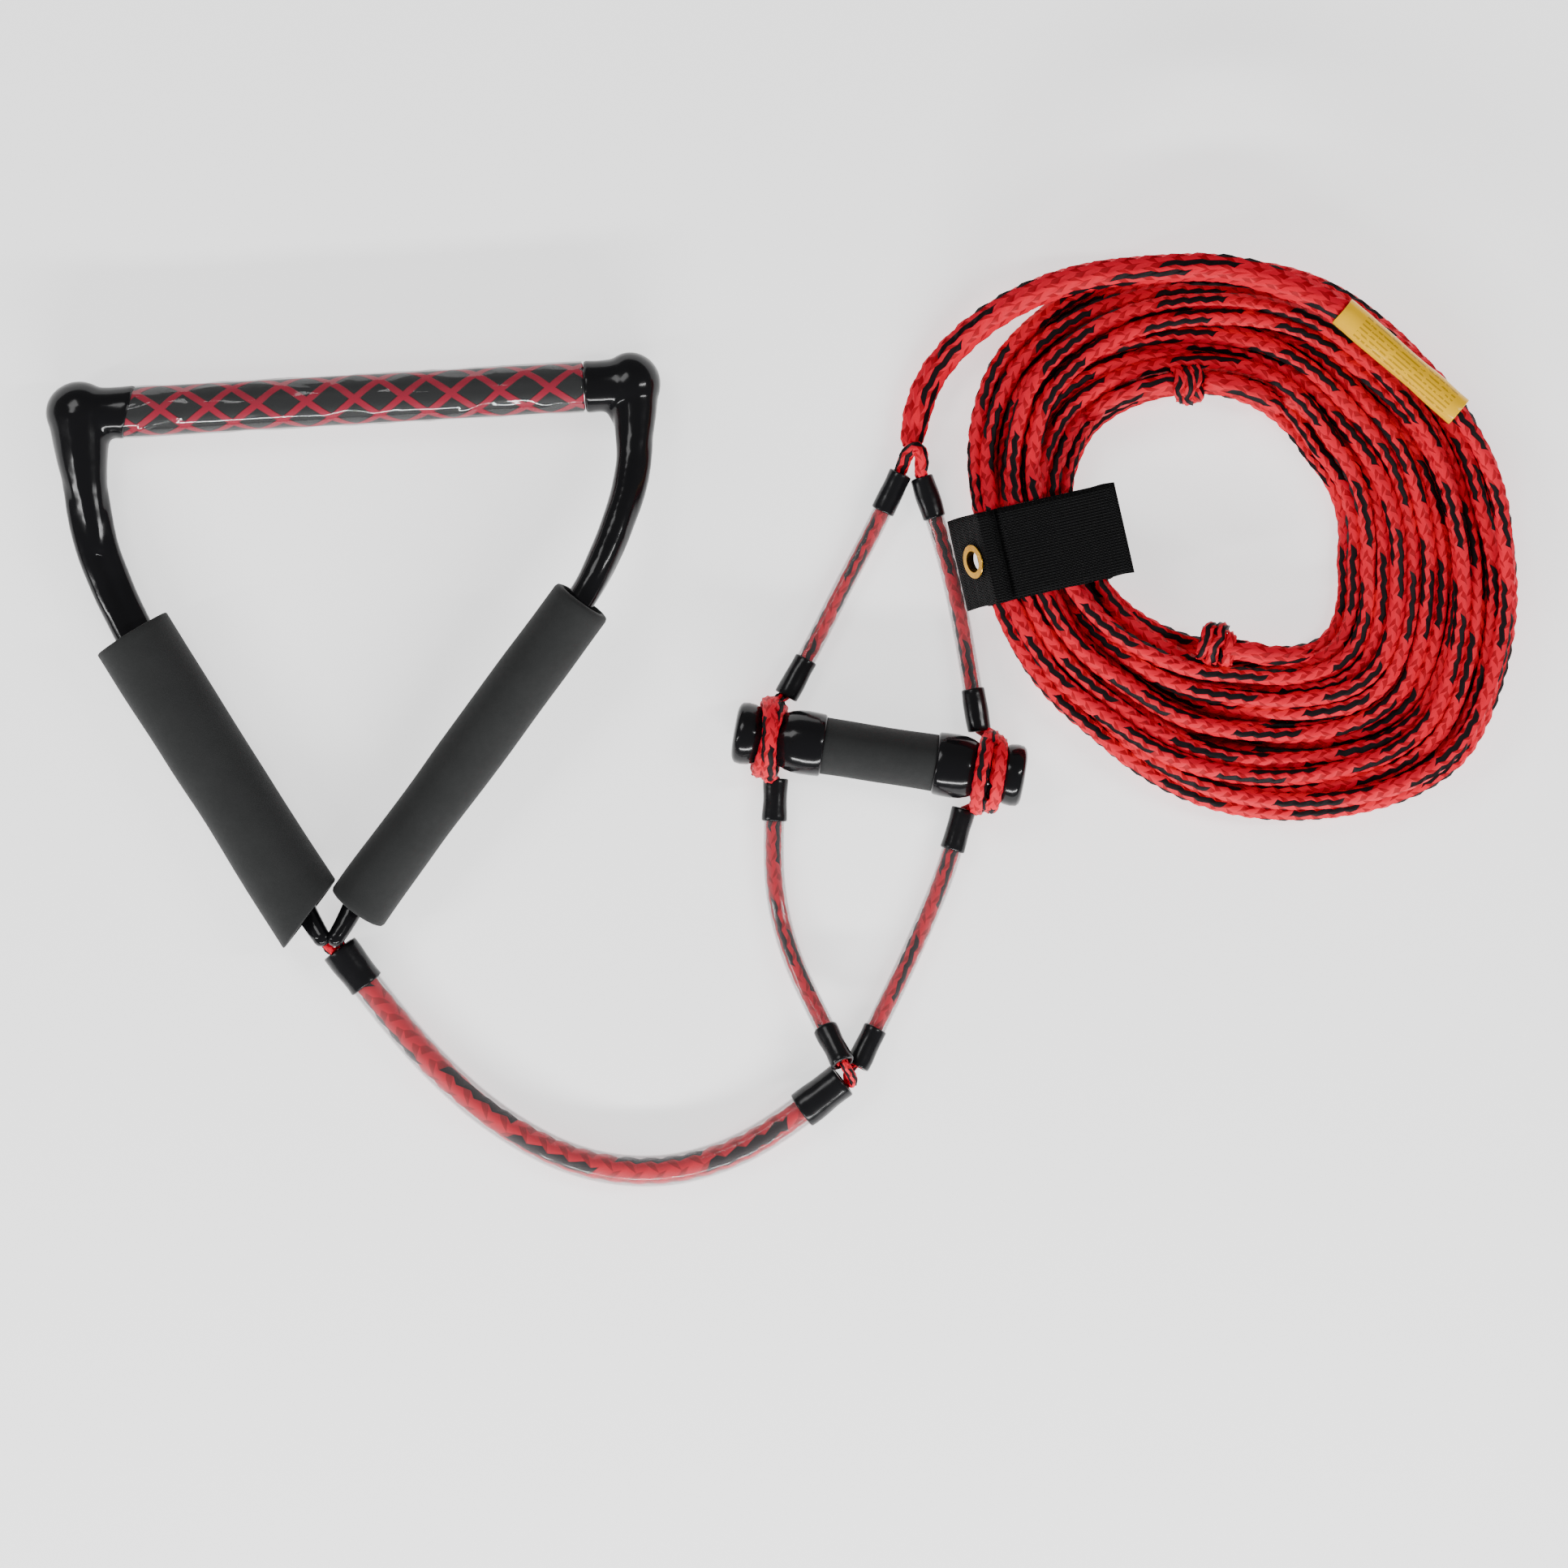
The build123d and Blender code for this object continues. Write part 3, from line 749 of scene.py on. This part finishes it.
# -------------------- main handle: dipped arms and elbows
arm_left_route = [
    (-155.5, 0, 0), (-155.0, -42, 0), (-149.4, -76, 0.5), (-137.2, -110.5, 1.2),
    (-118.5, -148.7, 1.5), (-45.5, -279.5, 1.5)]
arm_right_route = [
    (152.5, 0, 0), (152.8, -35, 6.5), (145.2, -67, 17), (130.4, -98, 26.2),
    (116.0, -122.1, 28.3), (-15.2, -279.8, 3.4)]
loop_left_route = [(-47.0, -276.8, 1.5), (-42.6, -286.0, 3.2), (-36.6, -296.6, 8.5)]
loop_right_route = [(-16.8, -277.9, 3.6), (-21.4, -287.5, 5.2), (-28.6, -297.2, 9.5)]
neck_r = 14.1 * mm          # dipped neck over the collar, a little wider at its rim


def shell(name, line, radius, sides=20, shift=0.0, turns=0.0):
    """A closed tube of a radius that changes along the line, beside it by a shift."""
    at = np.linspace(0, line.length, max(4, int(line.length / (4 * mm))))
    thick = np.array([radius(place / line.length) for place in at])
    spin = turns * 2 * pi * at / line.length
    middle = line.ring(at, spin, shift * thick)
    angle = np.linspace(0, 2 * pi, sides, endpoint=False)
    side, up = line.read(line.side, at), line.read(line.up, at)
    out = np.cos(angle)[None, :, None] * side[:, None] + np.sin(angle)[None, :, None] * up[:, None]
    points = (middle[:, None] + thick[:, None, None] * out).reshape(-1, 3)
    faces = grid_faces(len(at), sides).tolist() + caps_of(len(at), sides)
    return placed(name, mesh_of(name, points, faces))


def ball(name, centre, radii):
    """An ellipsoid as a closed mesh."""
    bpy.ops.mesh.primitive_uv_sphere_add(segments=32, ring_count=20, radius=1)
    made = bpy.context.object
    made.name = name
    made.scale = radii
    made.location = centre
    bpy.ops.object.transform_apply(location=True, rotation=True, scale=True)
    return made


def melted(name, parts, voxel, rounds):
    """Closed shapes joined into one skin, and smoothed as if dipped."""
    with bpy.context.temp_override(active_object=parts[0], selected_editable_objects=parts):
        bpy.ops.object.join()
    whole = parts[0]
    remesh = whole.modifiers.new("skin", "REMESH")
    remesh.mode = "VOXEL"
    remesh.voxel_size = voxel
    smooth = whole.modifiers.new("smooth", "SMOOTH")
    smooth.factor = 0.5
    smooth.iterations = rounds
    mesh = finished_mesh(whole)
    bpy.data.objects.remove(whole)
    mesh.name = name
    mesh.polygons.foreach_set("use_smooth", np.ones(len(mesh.polygons), bool))
    return mesh


def elbow_shells(name, route, elbow, collar_end, inward, top_r):
    """The neck over the bar's collar, the thick root of the arm and the crook between them."""
    neck = Line([elbow, ((elbow[0] + collar_end) / 2, 0, 0), (collar_end, 0, 0)])
    flare = lambda share: neck_r + (1.8 * (1 - share) ** 2 + 0.9 * share ** 4) * mm
    root = Line(in_metres(route[:3]))
    crook = Line([np.array(elbow) + (x * mm * inward, y * mm, 0)
                  for x, y in ((13, -2), (5, -9), (2, -24))])
    return [shell(f"{name}_neck", neck, flare),
            shell(f"{name}_root", root, lambda share: (0.6 + 0.75 * (1 - share) ** 1.1) * top_r),
            shell(f"{name}_crook", crook, lambda share: (0.95 - 0.2 * share) * top_r)]


def slanted(points, collar_end, slant):
    """Points of an arm with the rim of its neck cut at a slant."""
    at_rim = np.clip(1 - abs(points[:, 0] - collar_end) / (9 * mm), 0, 1)
    points[:, 0] += slant * at_rim * (abs(points[:, 1]) < 16 * mm) * points[:, 1]
    return points


def dipped_arm(name, route, loop_route, top_r, low_r, elbow, elbow_radii, collar_end, nodes,
               turns, apart, slant):
    """Elbow ball, neck, two rope strands side by side under one dipped skin, and the end loop."""
    line = Line(in_metres(route))
    slim = lambda share: (1 - apart) * (low_r + (top_r - low_r) * max(0.0, 1 - 1.6 * share))
    inward = np.sign(collar_end - elbow[0])
    parts = [shell(f"{name}_{side}", line, slim, shift=side * apart / (1 - apart), turns=turns)
             for side in (-1, 1)]
    parts.append(ball(f"{name}_elbow", elbow, elbow_radii))
    parts += elbow_shells(name, route, elbow, collar_end, inward, top_r)
    loop = Line(in_metres(loop_route))
    parts.append(shell(f"{name}_loop", loop, lambda share: (6.6 - 1.4 * share) * mm))
    parts.append(ball(f"{name}_loop_end", np.array(loop_route[-1]) * mm, (5.3 * mm,) * 3))
    mesh = melted(name, parts, 1.4 * mm, 7)
    points = slanted(points_of(mesh), collar_end, slant * inward)
    move_points(mesh, lumps(points, 22 * mm, 0.5 * mm, turns))
    return piece(name, mesh, dipped, "main_handle", nodes)


dipped_arm("left_arm", arm_left_route, loop_left_route, 13.2 * mm, 10.8 * mm, (-0.155, 0.001, 0),
           (18.8 * mm, 17.8 * mm, 17.2 * mm), -127.0 * mm,
           ("left_arm_cover", "left_bar_collar", "bridle_rope"), 0.1, 0.42, 0.3)
dipped_arm("right_arm", arm_right_route, loop_right_route, 10.6 * mm, 9.3 * mm, (0.151, 0, 0),
           (16.8 * mm, 17.8 * mm, 16.4 * mm), 125.3 * mm, ("right_arm_cover", "right_bar_collar"),
           0.75, 0.16, 0.0)


# -------------------- main handle: grip, film and collars
grip_start, grip_end, grip_r = -131.5 * mm, 125.0 * mm, 13.4 * mm
diamond = 27 * mm           # length of one diamond of the lattice
diamonds_round = 4
lattice_width = 0.13        # half width of a red line, as a share of a diamond

grip_foam = material("grip_foam", (0.05, 0.05, 0.052), 0.55)


def lattice():
    """Two sets of helical red lines that cross in diamonds."""
    split = add(grip_foam, "ShaderNodeSeparateXYZ")
    join(grip_foam, add(grip_foam, "ShaderNodeTexCoord").outputs["Object"], split.inputs["Vector"])
    turn = maths(grip_foam, "ARCTAN2", split.outputs["Z"], split.outputs["Y"])
    share = maths(grip_foam, "MULTIPLY", turn, diamonds_round / (2 * pi))
    wave = maths(grip_foam, "MULTIPLY", noise_over(grip_foam, 40), 0.12)
    run = maths(grip_foam, "ADD", maths(grip_foam, "DIVIDE", split.outputs["X"], diamond), wave)
    lines = []
    for kind in ("ADD", "SUBTRACT"):
        off = maths(grip_foam, "PINGPONG", maths(grip_foam, kind, run, share), 0.5)
        lines.append(maths(grip_foam, "SUBTRACT", 1.0, maths(grip_foam, "DIVIDE", off, lattice_width)))
    nearest = maths(grip_foam, "MAXIMUM", lines[0], lines[1])
    steep = maths(grip_foam, "MULTIPLY", maths(grip_foam, "MAXIMUM", nearest, 0.0), 4.0)
    return maths(grip_foam, "MINIMUM", steep, 1.0)


red_lines = lattice()
colours(grip_foam, red_lines, (0.030, 0.032, 0.033), (0.72, 0.008, 0.060))
grain(grip_foam, 700, 0.0002, 0.5)
bump(grip_foam, red_lines, 0.0008, 0.8)
rough(grip_foam, 200, 0.45, 0.65)

bar_zero = 0.15             # distance along the bar's line at which X is 0
bar_line = straight((-bar_zero, 0, 0), (bar_zero, 0, 0))
grip_profile = wall(bar_zero + grip_start, bar_zero + grip_end,
                    lambda t: grip_r * (1 + 0.006 * sin(17 * t)), 10.3 * mm, 0.8 * mm, 60)
grip_mesh = revolved("grip", bar_line, grip_profile, 64, shape=lambda p: lumps(p, 18 * mm, 0.25 * mm, 2))
grip = piece("diamond_grip", grip_mesh, grip_foam, "main_handle", ("bar_grip",))

film = see_through("shrink_film", 0.98, (0.03, 0.03, 0.03), 1.0, 0.35, 0.3, 0.5)


def creased(points):
    """Film drawn tight over the foam, with slanting creases and a few bubbles."""
    moved = []
    for point in points:
        x, y, z = point
        slant = Vector((x * 26 - z * 40, y * 75, z * 75))
        ridge = 1 - abs(noise.noise(slant + Vector((3, 0, 0)))) * 5
        soft = noise.noise(Vector((x * 60, y * 50, z * 50)))
        lift = 0.55 * mm * max(0.0, ridge) + 0.22 * mm * soft
        out = np.array((0, y, z)) / (np.hypot(y, z) + 1e-9)
        moved.append(point + lift * out)
    return np.array(moved)


film_profile = [(bar_zero + grip_start + 0.5 * mm + t * (grip_end - grip_start - mm), grip_r + 0.45 * mm)
                for t in np.linspace(0, 1, 260)]
film_mesh = revolved("film", bar_line, film_profile, 96, closed=False, shape=creased)
piece("shrink_film", film_mesh, film, "main_handle", ("grip_film",))


def dress(node, made):
    """Gives a CAD node whose shape is right its own material."""
    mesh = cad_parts[node].data
    mesh.materials.clear()
    mesh.materials.append(made)


aluminium = material("aluminium", (0.72, 0.73, 0.74), 0.35, metallic=1.0)
grain(aluminium, 500, 0.0001, 0.4, stretch=(0.1, 1, 1))
rough(aluminium, 200, 0.28, 0.45, stretch=(0.1, 1, 1))
for node in ("bar_tube", "cross_core"):
    dress(node, aluminium)
for node in ("left_bar_plug", "right_bar_plug"):
    dress(node, foam)
dress("grommet", brass)


# -------------------- floats and cross handle
def float_tube(name, low, axis, length, half_width, half_height, bore, edge, body, node, mitre=0.0):
    """A foam float on a straight stretch of rope, cut a little unevenly."""
    low, axis = np.array(low) * mm, unit(np.array(axis, float))
    line = straight(low, low + length * axis)
    squeeze = half_height / half_width
    steps = int(length / (4 * mm))
    across = unit(np.cross(axis, (0, 0, 1)))

    def cut(points):
        """Slants the low end, and makes the whole tube a little uneven."""
        offset = (points - low) @ across
        along = (points - low) @ axis
        fade = np.clip(1 - along / (0.5 * length), 0, 1)
        points = points + (tan(mitre) * offset * fade)[:, None] * axis
        return lumps(points, 45 * mm, 0.9 * mm, length * 40)

    swell = lambda t: half_width * (1 - 0.012 * sin(pi * t))
    mesh = revolved(name, line, wall(0, length, swell, bore, edge, steps), 64, squeeze=squeeze, shape=cut)
    made = piece(name, mesh, foam, body, (node,))


float_tube("left_foam_float", (-43.3, -283.5, 1.5), (-0.487342, 0.873211, 0), 184 * mm, 22.3 * mm,
           18.2 * mm, 14.6 * mm, 0.9 * mm, "left_float", "left_float", radians(20))
float_tube("right_foam_float", (-17.1, -282.1, 3.1), (0.634901, 0.763139, 0.120496), 214 * mm,
           17.4 * mm, 17.4 * mm, 13.1 * mm, 2.4 * mm, "right_float", "right_float")

cross_centre = np.array((0.2772, -0.2126, 0.001))
cross_axis = np.array((0.978148, -0.207912, 0))
cross_up = np.array((0, 0, 1.0))
cross_zero = 0.1            # distance along the cross handle's line at which its middle lies
cross_line = straight(cross_centre - cross_zero * cross_axis, cross_centre + cross_zero * cross_axis)
cross_foam_half = 31.9 * mm
wrap_place = 61.6 * mm      # from the middle of the handle to the middle of a wrap
wrap_r = 18.3 * mm          # of the rope's centre line round the groove of a cap
tie_r = 20.5 * mm           # the same for the end of a leg, which lies on the wrap
cross_profile = wall(cross_zero - cross_foam_half, cross_zero + cross_foam_half,
                     lambda t: (15.9 - 0.35 * sin(pi * t)) * mm, 9.2 * mm, 0.7 * mm, 28)
cross_mesh = revolved("cross_foam", cross_line, cross_profile, 56,
                      shape=lambda p: lumps(p, 25 * mm, 0.3 * mm, 6))
cross_foam = piece("cross_foam", cross_mesh, foam, "lower_bridle", ("cross_grip",))


def resting(mesh):
    """Flattens what would be under the floor, as the weight of the handle does."""
    points = points_of(mesh)
    points[:, 2] = np.maximum(points[:, 2], floor_z + 0.2 * mm)
    move_points(mesh, points)


def cross_wrap(name, side, node, seed):
    """Two turns of rope round the groove of a cap, crossed on top and underneath."""
    middle = cross_centre + side * wrap_place * cross_axis
    across = np.cross(cross_axis, cross_up)
    route = []
    for a in np.linspace(0, 4 * pi, 26):
        swing = 4.6 * mm * sin(a / 2 + wrap_phase[side])
        over = 1.8 * mm if 1.9 * pi < a < 3.1 * pi else 0       # where it lies on the first turn
        bulge = wrap_r + 2.6 * mm * max(0.0, cos(a)) ** 2 + over
        route.append(middle + swing * cross_axis + bulge * (cos(a) * across + sin(a) * cross_up))
    line = Line(route, up=cross_axis)
    line.flatness = (1.0, 1.2)
    mesh = braid(name, line, level(3.9 * mm), 8.0 * mm, 0.22, 5.0, seed, dashes=(3, 10))
    resting(mesh)
    return piece(name, mesh, yarns, "lower_bridle", (node,))


def leg_tie(name, line, seed):
    """The end of a leg's rope, from its sleeve to the groove of a cap and part way round it."""
    lower = name.startswith("lower")
    side = -1 if name.endswith("left") else 1
    middle = cross_centre + side * wrap_place * cross_axis
    outward = (1 if lower else -1) * np.cross(cross_axis, cross_up)
    end, inward = (line.points[0], line.tangent[0]) if lower else (line.points[-1], -line.tangent[-1])
    around = [middle + tie_r * (cos(a) * outward + sin(a) * cross_up)
              for a in (-0.35, 0.1, 0.45, 0.8)]
    route = [end + 6 * mm * inward, end, 0.5 * (end + around[0]) + 1.5 * mm * outward, *around]
    tie = braid(f"{name}_tie", Line(route, up=cross_axis), level(3.5 * mm), 7.5 * mm, 0.22, 5.0, seed)
    piece(f"{name}_tie", tie, yarns, "lower_bridle" if lower else "upper_bridle")


# distance from the handle's middle and radius, in millimetres
cap_profile = [(31.2, 15.6), (31.5, 16.8), (32.4, 17.5), (36, 17.7), (42, 17.8), (47, 17.4), (51, 16.4),
               (54, 15.0), (57, 14.2), (62, 14.0), (66, 14.2), (68.5, 15.4), (71.5, 16.8), (75.5, 17.3),
               (78.6, 16.9), (80.1, 15.6), (81.0, 13.4), (81.3, 11.0), (81.5, 7.0)]


def cross_cap(name, side, node):
    """A dipped cap: a thick rim over the foam, a soft groove for the wrap and a round nose."""
    profile = [(cross_zero + side * place * mm, radius * mm) for place, radius in cap_profile]
    mesh = revolved(name, cross_line, profile[::side], 48, closed=False,
                    shape=lambda p: lumps(p, 20 * mm, 0.4 * mm, 3 + side))
    return piece(name, mesh, dipped, "lower_bridle", (node,))


cross_cap("left_cap", -1, "left_cross_cap")
cross_cap("right_cap", 1, "right_cross_cap")
wrap_phase = {-1: -0.25 * pi, 1: 0.3 * pi}  # where the two turns of each wrap cross
cross_wrap("left_wrap", -1, "left_cross_knot", 5)
cross_wrap("right_wrap", 1, "right_cross_knot", 6)
for seed, (name, line) in enumerate(legs.items(), 1):
    leg_tie(name, line, seed)


# -------------------- strap
strap_at = np.array((0.373, -0.103, 0))
strap_turn = radians(9.6)
strap_u = np.array((cos(strap_turn), sin(strap_turn), 0))
strap_v = np.array((-sin(strap_turn), cos(strap_turn), 0))
strap_width = 51 * mm
strap_thick = 1.5 * mm
rib = 2.3 * mm              # one rib of the webbing
thread = 1.6 * mm           # one stitch along a rib


def ribs():
    """Ribs across the webbing and fine warp threads along it."""
    waves = []
    for direction, pitch in ((strap_u, rib), (strap_v, thread), ((0, 0, 1), rib)):
        turn = maths(webbing, "MULTIPLY", run_along(webbing, direction), 2 * pi / pitch)
        waves.append(maths(webbing, "SINE", turn))
    return maths(webbing, "MULTIPLY", maths(webbing, "ADD", waves[0], waves[2]), waves[1])


weave_relief_and_shade = ribs()
# the weave's relief drives the colour too: darker in its hollows, as painted shade between the ribs
colours(webbing, between(webbing, weave_relief_and_shade, 0.35, 1.0), (0.0006, 0.0006, 0.0007),
        (0.013, 0.013, 0.014))
grain(webbing, 900, 0.0002, 0.6)
bump(webbing, weave_relief_and_shade, 0.0009, 1.0)
rough(webbing, 150, 0.5, 0.75)


def strap_point(across, height, v):
    """A point of the strap: millimetres across the bundle and up, and metres along the bundle."""
    return strap_at + strap_u * across * mm + strap_v * v + np.array((0, 0, height * mm))


def strip(name, section, body, nodes, wave=0.0, closed=False, seed=0):
    """Webbing along a section of (distance across the bundle, height), in millimetres."""
    count = 13
    widths = np.linspace(-strap_width / 2, strap_width / 2, count)
    points = []
    for u, z in section:
        wander = 0.7 * mm * noise.noise(Vector((u * 0.09, 3.0, seed)))
        for v in widths:
            shift = wave * noise.noise(Vector((u * 0.06, v * 45, seed)))
            points.append(strap_point(u, z + shift, v + wander))
    rows = len(section)
    faces = []
    for row in range(rows if closed else rows - 1):
        for column in range(count - 1):
            a, b = row * count + column, (row + 1) % rows * count + column
            faces.append((a, a + 1, b + 1, b))
    sheet = placed(name, mesh_of(name, points, faces))
    solid = sheet.modifiers.new("thickness", "SOLIDIFY")
    solid.thickness = strap_thick
    solid.offset = 0
    mesh = finished_mesh(sheet)
    bpy.data.objects.remove(sheet)
    mesh.name = name
    return piece(name, mesh, webbing, body, nodes)


def rounded_box(left, right, low, high, corner, steps):
    """A closed section with round corners."""
    centres = ((right - corner, high - corner, 90), (right - corner, low + corner, 0),
               (left + corner, low + corner, -90), (left + corner, high - corner, -180))
    section = []
    for u, z, start in centres:
        for t in np.linspace(0, 1, steps):
            a = radians(start - 90 * t)
            section.append((u + corner * cos(a), z + corner * sin(a)))
    dense = []
    for (u0, z0), (u1, z1) in zip(section, section[1:] + section[:1]):
        parts = max(1, int(np.hypot(u1 - u0, z1 - z0) / 4))
        dense += [(u0 + (u1 - u0) * t / parts, z0 + (z1 - z0) * t / parts) for t in range(parts)]
    return dense


band_section = rounded_box(-34.9, 33.9, -16.2, 26.2, 12.8, 7)
band = strip("strap_loop", band_section, "main_line", ("strap_band",), 0.3, True)

tab_fold, tab_end = np.array((-31.2, 28.8)), np.array((-47.0, 2.0))
tab_section = [(-22.0, 27.6), (-26.5, 28.3), tuple(tab_fold)]
tab_section += [tuple(tab_fold + (tab_end - tab_fold) * t) for t in np.linspace(0.1, 1, 9)]
tab = strip("strap_tab", tab_section, "main_line", (), 0.3, seed=1)
tab_out = unit(np.array((-0.849374, -0.143661, 0.507863)))
grommet_at = np.array((0.336228, -0.10922, 0.0184627))


def punched(cloth, centre, axis, radius):
    """Cuts the grommet's round hole through the webbing."""
    half = 12 * mm
    punch = straight(centre - half * axis, centre + half * axis, up=strap_v)
    cutter = shell("punch", punch, lambda share: radius, 40)
    cut = cloth.modifiers.new("hole", "BOOLEAN")
    cut.operation = "DIFFERENCE"
    cut.solver = "FAST"
    cut.object = cutter
    mesh = finished_mesh(cloth)
    cloth.modifiers.clear()
    cloth.data = mesh
    bpy.data.objects.remove(cutter)


punched(tab, grommet_at, tab_out, 6.6 * mm)

flap_section = [(u, 28.4 + 0.9 * max(0.0, (u - 34) / 12) ** 2) for u in np.linspace(-20, 46, 24)]
flap = strip("strap_flap_cloth", flap_section, "strap_flap", ("strap_flap",), 0.35, seed=2)


# -------------------- floor and finish
floor_material = material("paper_floor", (0.86, 0.86, 0.86), 0.9, emission_strength=1.15)
shader_of(floor_material).inputs["Emission Color"].default_value = (1, 1, 1, 1)
colours(floor_material, noise_over(floor_material, 3), (0.86, 0.86, 0.86), (0.88, 0.88, 0.88))
floor_mesh = mesh_of("floor", [(-4, -4, floor_z), (4.5, -4, floor_z), (4.5, 4, floor_z), (-4, 4, floor_z)],
                     [(0, 1, 2, 3)])
floor_mesh.materials.append(floor_material)
placed("floor", floor_mesh)
